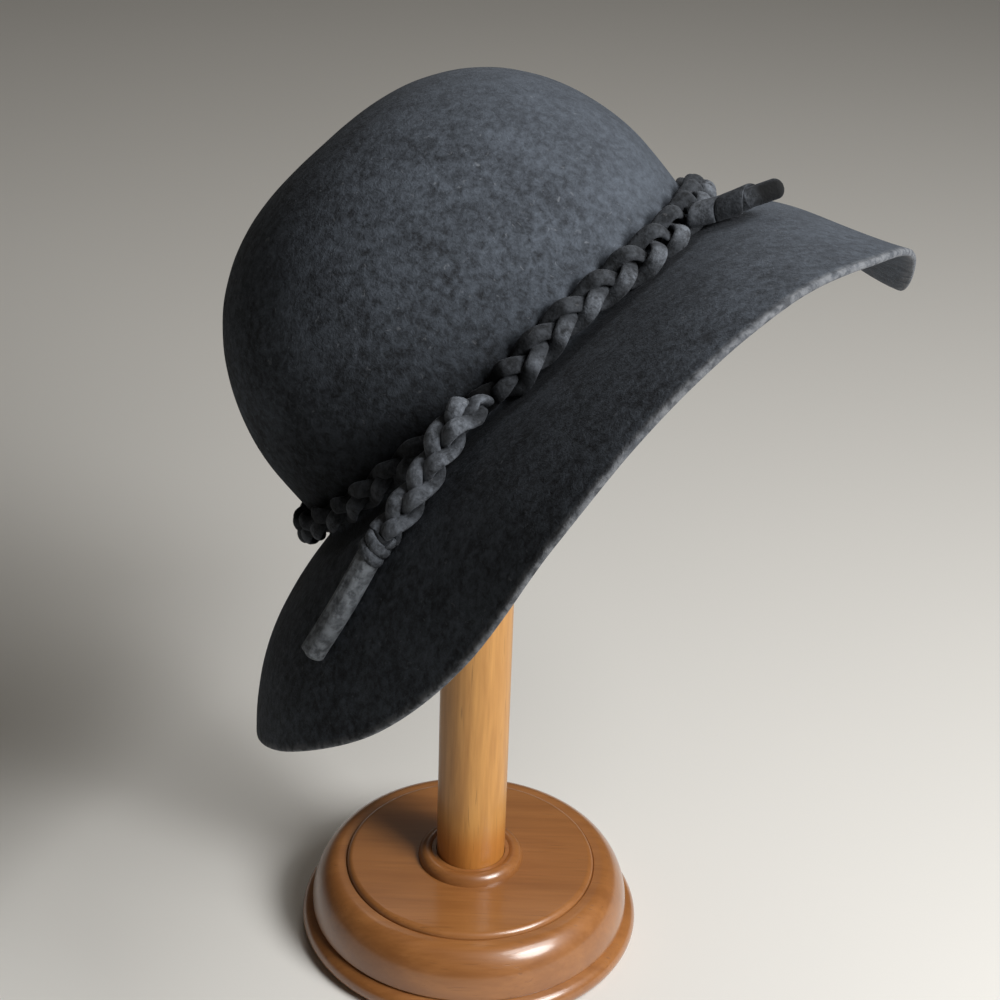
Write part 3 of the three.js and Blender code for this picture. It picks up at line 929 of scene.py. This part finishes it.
def felt_shade(rings, azimuth, felt, band):
    """Painted shade: low on one side of the crown, and on the brim beside the band and front tail."""
    height = rings[..., 2]
    side = np.clip(np.cos(np.radians(azimuth - LOW_CROWN_SIDE)), 0, 1)
    shade = felt.low_crown_shade * ramp(height, *LOW_CROWN) * ramp(height, *LOW_CROWN_FOOT) * side
    ring = band_ring(band, BAND_CREVICE_STATIONS)[:, :3]
    front, _ = route_over_brim(FRONT_BINDING_ROWS, FRONT_CREVICE_STATIONS)
    front = front[:round(FRONT_CREVICE_RUN * FRONT_CREVICE_STATIONS)]
    for line, reach in ((ring, BAND_CREVICE), (front, FRONT_CREVICE)):
        beside = ramp(distance_to(rings, line), *reach)
        shade = np.maximum(shade, ramp(height, *BRIM_TOP) * beside)
    return shade


class FELTHAT_OT_body(bpy.types.Operator):
    """Makes the crown and brim as one hollow felt wall with a soft cut edge"""

    bl_idname = "felt_hat.body"
    bl_label = "Felt Body"

    def execute(self, context):
        settings = settings_of(context, "felt")
        wall = settings.wall / MM
        azimuth = np.linspace(0, 360, FELT_COLUMNS, endpoint=False)
        outer = felt_rings(azimuth, wall)
        normals = grid_normals(outer)
        outer = outer + blocked_by_hand(outer, settings.ripple / MM)[..., None] * normals
        inner = outer[::2] - wall * normals[::2]
        rings = np.concatenate((inner[::-1], rounded_edge(outer, inner, normals, wall), outer))
        tips = [rings[0].mean(0), rings[-1].mean(0)]
        points = np.concatenate((rings.reshape(-1, 3), tips))
        under_tip, top = ([number] * FELT_COLUMNS for number in (len(points) - 2, len(points) - 1))
        faces = skin([under_tip, *numbered(*rings.shape[:2]), top])
        made = mesh_object("hat_felt_body", to_frame(points), faces)
        face_outwards(made.data)
        edge_start = len(inner)
        edge_end = edge_start + EDGE_RINGS
        paleness = np.zeros(rings.shape[:2])
        paleness[edge_start:edge_end] = 1.0
        paleness[[edge_start - 1, edge_end]] = BESIDE_EDGE
        shade = felt_shade(rings, azimuth, settings, settings_of(context, "band"))
        shade[:edge_end] = 0.0
        # Painted light, most at the front of the hat
        faded = np.clip(np.cos(np.radians(azimuth - PAINTED_LIGHT_SIDE)), 0, 1) ** PAINTED_LIGHT_POWER
        faded = faded * ramp(np.linalg.norm(rings[..., :2], axis=-1), *PAINTED_LIGHT_REACH)
        for name, values in (("cut_edge", paleness), ("sunk", shade), ("faded", faded)):
            add_point_attribute(made.data, name, np.append(values, (0.0, 0.0)))
        finish_piece(made, wool_felt("hat_wool_felt", settings), "hat_felt", "felt_body")
        return {"FINISHED"}


class Tree(Nodes):
    """A Geometry Nodes tree, with its inputs from rows of a name, a kind and a default."""

    def __init__(self, name, inputs):
        super().__init__(bpy.data.node_groups.new(name, "GeometryNodeTree"))
        new_socket = self.tree.interface.new_socket
        new_socket("Geometry", in_out="INPUT", socket_type="NodeSocketGeometry")
        new_socket("Geometry", in_out="OUTPUT", socket_type="NodeSocketGeometry")
        for key, kind, default in inputs:
            socket = new_socket(key, in_out="INPUT", socket_type=kind)
            if default is not None:
                socket.default_value = default
        self.group_in = self.tree.nodes.new("NodeGroupInput")
        self.group_out = self.tree.nodes.new("NodeGroupOutput")

    def given(self, name):
        return Wire(self, self.group_in.outputs[name])

    def scaled(self, vector, scale):
        return self.node("ShaderNodeVectorMath", {"operation": "SCALE"}, {0: vector, "Scale": scale})

    def field(self, name, kind="FLOAT"):
        return self.node("GeometryNodeInputNamedAttribute", {"data_type": kind}, {"Name": name})

    def ends_in(self, wire):
        self.tree.links.new(wire.socket, self.group_out.inputs["Geometry"])
        return self.tree


STRAND_TREE = "strand_along_a_path"
STRAND_SIZES = {
    "Turns": 1.0,
    "Phase": 0.0,
    "Side Reach": 5.0 * MM,
    "Lift Reach": 3.0 * MM,
    "Lift Rate": 2.0,
    "Lift Phase": 0.5,
    "Half Width": 4.0 * MM,
    "Half Thickness": 3.0 * MM,
    "Bulge": 0.0,
    "Stray": 0.0,
    "Radial": 0.0,
    "Skew": 0.0,
    "Dim": 0.0,
    "Shade": 0.5,
}
STRAND_INPUTS = (
    *((name, "NodeSocketFloat", default) for name, default in STRAND_SIZES.items()),
    ("Sides", "NodeSocketInt", 16),
    ("Material", "NodeSocketMaterial", None),
)
# How far a strand's painted shade follows its rise, darker where it dips, and how the noise of hand-made
# straying differs between strands, with its scale and detail
RISE_SHADE = -0.5
STRAY_APART = 9.0
STRAY_NOISE = {"Scale": 75.0, "Detail": 1.0}


def strand_tree():
    """A felt strand that weaves or winds about a path.

    The path is a line of points that carry how far along they are (path_share), how full the weave is
    (path_girth), how much painted shade it gets (path_shade), the way to the side (path_side) and the way
    up off the felt (path_lift). The strand swings to the side by the sine of its turn, and rises by the sine
    of a multiple of it. A radial strand turns its flat side away from the path, and a skewed one is fuller on
    one side of it. The field sunk says how far the strand is darkened as painted shade: where it
    dips, to one side by Dim, and by Shade.
    """
    found = bpy.data.node_groups.get(STRAND_TREE)
    if found:
        return found
    tree = Tree(STRAND_TREE, STRAND_INPUTS)
    given = tree.given
    side = tree.field("path_side", "FLOAT_VECTOR")
    lift = tree.field("path_lift", "FLOAT_VECTOR")
    girth = tree.field("path_girth")
    turns = tree.field("path_share") * given("Turns") + given("Phase")
    side_sine = (turns * math.tau).math("SINE")
    lift_sine = ((turns * given("Lift Rate") + given("Lift Phase")) * math.tau).math("SINE")
    aside = tree.scaled(side, side_sine * given("Side Reach"))
    raised = tree.scaled(lift, lift_sine * given("Lift Reach"))
    away = tree.vectors("ADD", aside, raised)
    place = tree.node("GeometryNodeInputPosition")
    stray = {"Vector": place, "W": given("Phase") * STRAY_APART, **STRAY_NOISE}
    stray = tree.node("ShaderNodeTexNoise", {"noise_dimensions": "4D"}, stray, out="Color")
    stray = tree.vectors("SUBTRACT", stray, (0.5, 0.5, 0.5))
    stray = tree.scaled(stray, given("Stray") * 2.0)
    offset = tree.vectors("ADD", tree.scaled(away, girth), stray)
    radial = tree.scaled(tree.vectors("NORMALIZE", away), given("Radial"))
    flat = tree.vectors("ADD", tree.scaled(lift, 1.0 - given("Radial")), radial)
    woven = {"Geometry": given("Geometry"), "Offset": offset}
    woven = tree.node("GeometryNodeSetPosition", None, woven)
    curve = tree.node("GeometryNodeMeshToCurve", None, {"Mesh": woven})
    curve = {"Curve": curve, "Normal": flat}
    curve = tree.node("GeometryNodeSetCurveNormal", {"mode": "FREE"}, curve)
    swell = (side_sine * given("Skew") + (lift_sine * given("Bulge") + 1.0)) * girth
    curve = tree.node("GeometryNodeSetCurveRadius", None, {"Curve": curve, "Radius": swell})
    # Painted shade: darker where the strand dips under another, on its crown side, and by the Shade inputs
    sunk = lift_sine * RISE_SHADE + (side_sine * given("Dim") + (given("Shade") + tree.field("path_shade")))
    sunk = {"Geometry": curve, "Name": "sunk", "Value": sunk}
    curve = tree.node("GeometryNodeStoreNamedAttribute", {"data_type": "FLOAT", "domain": "POINT"}, sunk)
    ring = {"Resolution": given("Sides"), "Radius": 1.0}
    ring = tree.node("GeometryNodeCurvePrimitiveCircle", None, ring)
    size = {"X": given("Half Thickness"), "Y": given("Half Width"), "Z": 1.0}
    size = tree.node("ShaderNodeCombineXYZ", None, size)
    section = tree.node("GeometryNodeTransform", None, {"Geometry": ring, "Scale": size})
    strand = {"Curve": curve, "Profile Curve": section, "Fill Caps": True}
    strand = tree.node("GeometryNodeCurveToMesh", None, strand)
    strand = tree.node("GeometryNodeRealizeInstances", None, {"Geometry": strand})
    strand = {"Geometry": strand, "Material": given("Material")}
    return tree.ends_in(tree.node("GeometryNodeSetMaterial", None, strand))


def path_object(name, line, facing, girth=1.0, shade=0.0, closed=False):
    """The line that a strand weaves about, with the fields that the tree reads."""
    count = len(line)
    edges = [(i, i + 1) for i in range(count - 1)]
    if closed:
        edges.append((count - 1, 0))
    side, lift = across_and_up(line, facing, closed)
    mesh = bpy.data.meshes.new(name)
    mesh.from_pydata([tuple(p) for p in to_frame(line)], edges, [])
    shares = np.arange(count) / (count if closed else count - 1)
    for key, values in (("path_share", shares), ("path_girth", girth), ("path_shade", shade)):
        add_point_attribute(mesh, key, np.broadcast_to(values, count))
    for key, ways in (("path_side", side), ("path_lift", lift)):
        attribute = mesh.attributes.new(key, "FLOAT_VECTOR", "POINT")
        attribute.data.foreach_set("vector", turn_to_frame(ways).astype(np.float32).ravel())
    return object_from_mesh(name, mesh)


def apply_tree(made, modifier, values):
    """Sets a tree's inputs by their identifiers, evaluates it and keeps the result as a plain mesh."""
    for item in modifier.node_group.interface.items_tree:
        if item.item_type == "SOCKET" and item.in_out == "INPUT" and item.name in values:
            modifier[item.identifier] = values[item.name]
    context = bpy.context
    context.view_layer.update()
    evaluated = made.evaluated_get(context.evaluated_depsgraph_get())
    mesh = bpy.data.meshes.new_from_object(evaluated)
    made.modifiers.remove(modifier)
    old = made.data
    made.data = mesh
    bpy.data.meshes.remove(old)
    mesh.name = made.name
    mesh.polygons.foreach_set("use_smooth", [True] * len(mesh.polygons))
    face_outwards(mesh)


def woven_strand(name, material, sizes, path):
    """Runs the strand tree on a path and leaves a plain mesh."""
    made = path_object(name, *path)
    modifier = made.modifiers.new("Strand", "NODES")
    modifier.node_group = strand_tree()
    apply_tree(made, modifier, {**sizes, "Material": material})
    return made


def plait(name, node, material, sizes, first_phase, path):
    """The strands of a plait, which take turns along one path."""
    for index in range(STRAND_COUNT):
        phased = {**sizes, "Phase": index / STRAND_COUNT + first_phase}
        made = woven_strand(f"{name}_{index + 1}", material, phased, path)
        finish_piece(made, material, "band_felt", f"{node}_{index + 1}")


def wound_tail(name, material, sizes, section, line, facing, shade=0.0):
    """A core, darkened as painted shade between the turns, with a strip wound round it, as one mesh."""
    strip = woven_strand(name + "_strip", material, sizes, (line, facing, 1.0, shade))
    core = swept(name + "_core", line, facing, rolled_section(*section))
    # Painted shade on the core, which shows in the gaps between the turns
    add_point_attribute(core.data, "sunk", np.ones(len(core.data.vertices)))
    return joined(name, (strip, core))


def band_felt(settings):
    found = bpy.data.materials.get("band_wool_felt")
    return found or wool_felt("band_wool_felt", settings)


class FELTHAT_OT_band(bpy.types.Operator):
    """Makes the three strands of the plaited band"""

    bl_idname = "felt_hat.band"
    bl_label = "Plaited Band"

    def execute(self, context):
        settings = settings_of(context, "band")
        ring = at_even_steps(band_ring(settings, BAND_STATIONS), BAND_STATIONS, closed=True)
        line, girth, shade = ring[:, :3], ring[:, 3], ring[:, 4]
        up = np.array((0.0, 0.0, 1.0))
        level = unit(np.cross(tangents(line, True), up))
        facing = math.cos(settings.tilt) * level + math.sin(settings.tilt) * up
        sizes = {
            "Turns": float(settings.periods),
            "Side Reach": settings.spread,
            "Lift Reach": settings.swing,
            "Half Width": settings.half_width,
            "Half Thickness": settings.half_thickness,
            "Bulge": STRAND_BULGE,
            "Stray": settings.stray,
            "Skew": settings.skew,
            "Dim": settings.dim,
            "Shade": settings.shade,
        }
        path = (line, facing, girth, shade, True)
        plait("plait_strand", "band_strand", band_felt(settings), sizes, 0.0, path)
        return {"FINISHED"}


class FELTHAT_OT_near_tail(bpy.types.Operator):
    """Makes the plaited tail that lies on the brim, its binding and its rolled end"""

    bl_idname = "felt_hat.near_tail"
    bl_label = "Near Tail"

    def execute(self, context):
        material = band_felt(settings_of(context, "band"))
        line, facing = route_over_brim(NEAR_PLAIT_ROWS, PLAIT_STATIONS, NEAR_PLAIT_LEAN)
        girth = along_way(NEAR_PLAIT_GIRTH, PLAIT_STATIONS)
        shade = along_way(NEAR_PLAIT_SHADE, PLAIT_STATIONS)
        path = (line, facing, girth, shade)
        plait("tail_strand", "near_tail_strand", material, NEAR_PLAIT, NEAR_PLAIT_PHASE, path)
        line, facing = route_over_brim(NEAR_BINDING_ROWS, BINDING_STATIONS, NEAR_END_LEAN)
        made = wound_tail("tail_binding", material, NEAR_WRAP, NEAR_CORE, line, facing)
        finish_piece(made, material, "band_felt", "near_tail_binding")
        line, facing = route_over_brim(NEAR_END_ROWS, NEAR_END_STATIONS, NEAR_END_LEAN)
        made = swept("tail_end", line, facing, rolled_section(*NEAR_END))
        # Painted light along the near end, palest at its cut end
        lit_paleness = np.full(NEAR_END_STATIONS, NEAR_END_LIT_PALENESS)
        lit_paleness[-1] = 1.0
        add_point_attribute(made.data, "cut_edge", np.repeat(lit_paleness, TAIL_SIDES))
        finish_piece(made, material, "band_felt", "near_tail_end")
        return {"FINISHED"}


class FELTHAT_OT_front_tail(bpy.types.Operator):
    """Makes the short bound tail at the front and its rolled end"""

    bl_idname = "felt_hat.front_tail"
    bl_label = "Front Tail"

    def execute(self, context):
        material = band_felt(settings_of(context, "band"))
        line, facing = route_over_brim(FRONT_BINDING_ROWS, BINDING_STATIONS)
        shade = along_way(FRONT_WRAP_SHADE, BINDING_STATIONS)
        name = "front_tail_binding_wrap"
        made = wound_tail(name, material, FRONT_WRAP, FRONT_CORE, line, facing, shade)
        finish_piece(made, material, "band_felt", "front_tail_binding")
        line, facing = route_over_brim(FRONT_END_ROWS, FRONT_END_STATIONS)
        run = np.linspace(0, 1, FRONT_END_STATIONS)
        tip = np.sqrt(1 - ramp(run, *FRONT_TIP) ** 2)
        made = swept("front_tail_stub", line, facing, rolled_section(*FRONT_END), tip)
        add_point_attribute(made.data, "dark_end", np.repeat(ramp(run, *FRONT_DARK), TAIL_SIDES))
        finish_piece(made, material, "band_felt", "front_tail_end")
        return {"FINISHED"}


def arc(centre_radius, centre_height, half, start, end, steps=20):
    """Radii and heights along an arc of an oval, between two angles in degrees."""
    turn = np.radians(np.linspace(start, end, steps + 1))
    return list(zip(centre_radius + half[0] * np.cos(turn), centre_height + half[1] * np.sin(turn)))


def turned(name, outline):
    """A turned piece from a half outline of radius and height that starts and ends on the axis. Its edges
    are smooth, but sharp where a moulding turns a corner."""
    turn = np.linspace(0, math.tau, STAND_SEGMENTS, endpoint=False)
    points = []
    rings = []
    for radius, height in np.array(outline) * MM:
        if radius == 0.0:
            rings.append([len(points)] * STAND_SEGMENTS)
            points.append((0.0, 0.0, height))
            continue
        rings.append(list(range(len(points), len(points) + STAND_SEGMENTS)))
        points.extend((radius * math.cos(a), radius * math.sin(a), height) for a in turn)
    made = mesh_object(name, points, skin(rings))
    face_outwards(made.data, SHARP_ANGLE)
    return made


class FELTHAT_OT_stand(bpy.types.Operator):
    """Makes the turned foot, the post and the rounded top inside the crown"""

    bl_idname = "felt_hat.stand"
    bl_label = "Turned Stand"

    def execute(self, context):
        settings = settings_of(context, "stand")
        foot = settings.foot_radius / MM
        post = settings.post_radius / MM
        base_wood = turned_wood("base_lacquered_wood", settings.base_light, settings.base_dark, **BASE_WOOD)
        post_wood = turned_wood("post_oak", settings.post_light, settings.post_dark, **POST_WOOD)
        plinth = (PLINTH_ROUND, PLINTH_ROUND)
        socket = post + POST_FIT
        shoulder_top = SHOULDER_CENTRE[1] + SHOULDER_HALF[1]
        disc_top = shoulder_top + DISC_ROUND[1]
        outline = [(0.0, 0.0)]
        outline += arc(foot - PLINTH_ROUND, PLINTH_ROUND, plinth, -90, PLINTH_END)
        outline += [GROOVE]
        outline += arc(*SHOULDER_CENTRE, SHOULDER_HALF, 0, 90, steps=32)
        outline += [(DISC_RADIUS + DISC_FOOT_GROOVE, shoulder_top)]
        outline += [(DISC_RADIUS, shoulder_top - DISC_FOOT_GROOVE)]
        outline += arc(DISC_RADIUS - DISC_ROUND[0], shoulder_top, DISC_ROUND, 0, 90, steps=12)
        outline += arc(BEAD_CENTRE_RADIUS, disc_top, BEAD_HALF, 0, BEAD_END)
        outline += [(socket, outline[-1][1]), (socket, POST_SOCKET_FLOOR), (0.0, POST_SOCKET_FLOOR)]
        finish_piece(turned("turned_foot", outline), base_wood, "base_wood", "stand_base")
        centre = TOP_SUMMIT - TOP_RADIUS
        underside = centre - TOP_UNDERSIDE_BELOW_CENTRE
        socket_top = underside + TOP_SOCKET_DEPTH
        low = POST_SOCKET_FLOOR + POST_FIT
        high = socket_top - POST_FIT
        outline = [(0.0, low), *((post, z) for z in np.linspace(low, high, POST_RINGS)), (0.0, high)]
        finish_piece(turned("turned_post", outline), post_wood, "post_wood", "stand_post")
        cut = math.degrees(math.asin(TOP_UNDERSIDE_BELOW_CENTRE / TOP_RADIUS))
        outline = [(0.0, socket_top), (socket, socket_top), (socket, underside)]
        outline += arc(0.0, centre, (TOP_RADIUS, TOP_RADIUS), -cut, 90, steps=32)[:-1]
        outline += [(0.0, TOP_SUMMIT)]
        finish_piece(turned("turned_top", outline), post_wood, "post_wood", "stand_top")
        return {"FINISHED"}


def from_compass(azimuth, height, distance):
    """A move along a direction given by its azimuth and height in degrees."""
    turn, rise = math.radians(azimuth), math.radians(height)
    level = math.cos(rise)
    return distance * Vector((level * math.cos(turn), level * math.sin(turn), math.sin(rise)))


def soft_light(name, place, size, power, colour):
    """A round soft light, aimed at the hat."""
    lamp = bpy.data.lights.new(name, "AREA")
    lamp.shape = "DISK"
    lamp.size = size
    lamp.energy = power
    lamp.color = colour
    made = bpy.data.objects.new(name, lamp)
    made.location = place
    made.rotation_euler = (LIGHTS_AIM - place).to_track_quat("-Z", "Y").to_euler()
    bpy.context.scene.collection.objects.link(made)


class FELTHAT_OT_stage(bpy.types.Operator):
    """Makes the floor, the light and the camera"""

    bl_idname = "felt_hat.stage"
    bl_label = "Stage"

    def execute(self, context):
        settings = settings_of(context, "stage")
        scene = context.scene
        half = FLOOR_HALF
        corners = [(-half, -half, 0.0), (half, -half, 0.0), (half, half, 0.0), (-half, half, 0.0)]
        floor = mesh_object("floor", corners, [(0, 1, 2, 3)], smooth=False)
        floor.data.materials.append(floor_paint("pale_floor", settings.floor))
        for name, (place, size, colour) in LIGHTS.items():
            place = LIGHTS_AIM + from_compass(*place)
            soft_light(name + "_light", place, size, getattr(settings, name + "_power"), colour)
        world = bpy.data.worlds.new("even_sky")
        world.use_nodes = True
        background = world.node_tree.nodes["Background"]
        background.inputs["Color"].default_value = SKY_COLOUR
        background.inputs["Strength"].default_value = settings.sky
        scene.world = world
        scene.view_settings.view_transform = "Standard"
        self.add_camera(scene)
        return {"FINISHED"}

    @staticmethod
    def add_camera(scene):
        """Camera at the photograph's place, with its lens and its slight roll."""
        lens = bpy.data.cameras.new("camera")
        lens.sensor_fit = "HORIZONTAL"
        lens.sensor_width = SENSOR_WIDTH
        lens.lens = CAMERA_FOCAL_PIXELS / IMAGE_PIXELS * SENSOR_WIDTH
        lens.clip_start = 0.05
        forward = Vector((0.0, math.cos(CAMERA_DOWN), -math.sin(CAMERA_DOWN)))
        level_right = Vector((1.0, 0.0, 0.0))
        level_up = level_right.cross(forward)
        right = math.cos(CAMERA_ROLL) * level_right + math.sin(CAMERA_ROLL) * level_up
        up = right.cross(forward)
        turn = Matrix((right, up, -forward)).transposed().to_4x4()
        made = bpy.data.objects.new("camera", lens)
        made.matrix_world = Matrix.Translation(CAMERA_PLACE) @ turn
        scene.collection.objects.link(made)
        scene.camera = made


class FELTHAT_PT_panel(bpy.types.Panel):
    """Lists the pieces of the hat and its stand"""

    bl_idname = "FELTHAT_PT_panel"
    bl_label = "Felt Hat"
    bl_space_type = "VIEW_3D"
    bl_region_type = "UI"
    bl_category = "Felt Hat"

    def draw(self, context):
        for operator in OPERATORS:
            self.layout.operator(operator.bl_idname)
        for name in SETTINGS:
            box = self.layout.box()
            box.label(text=name.capitalize())
            group = settings_of(context, name)
            for key in group.__annotations__:
                box.prop(group, key)


SETTINGS = {"felt": FeltSettings, "band": BandSettings, "stand": StandSettings, "stage": StageSettings}
OPERATORS = (
    FELTHAT_OT_stage,
    FELTHAT_OT_body,
    FELTHAT_OT_band,
    FELTHAT_OT_near_tail,
    FELTHAT_OT_front_tail,
    FELTHAT_OT_stand,
)
CLASSES = (*SETTINGS.values(), *OPERATORS, FELTHAT_PT_panel)


def register():
    for made in CLASSES:
        bpy.utils.register_class(made)
    for name, group in SETTINGS.items():
        setattr(bpy.types.Scene, "felt_hat_" + name, bpy.props.PointerProperty(type=group))


def unregister():
    for name in SETTINGS:
        delattr(bpy.types.Scene, "felt_hat_" + name)
    for made in reversed(CLASSES):
        bpy.utils.unregister_class(made)


def main():
    register()
    bpy.ops.felt_hat.stage()
    bpy.ops.felt_hat.body()
    bpy.ops.felt_hat.band()
    bpy.ops.felt_hat.near_tail()
    bpy.ops.felt_hat.front_tail()
    bpy.ops.felt_hat.stand()


if __name__ == "__main__":
    main()
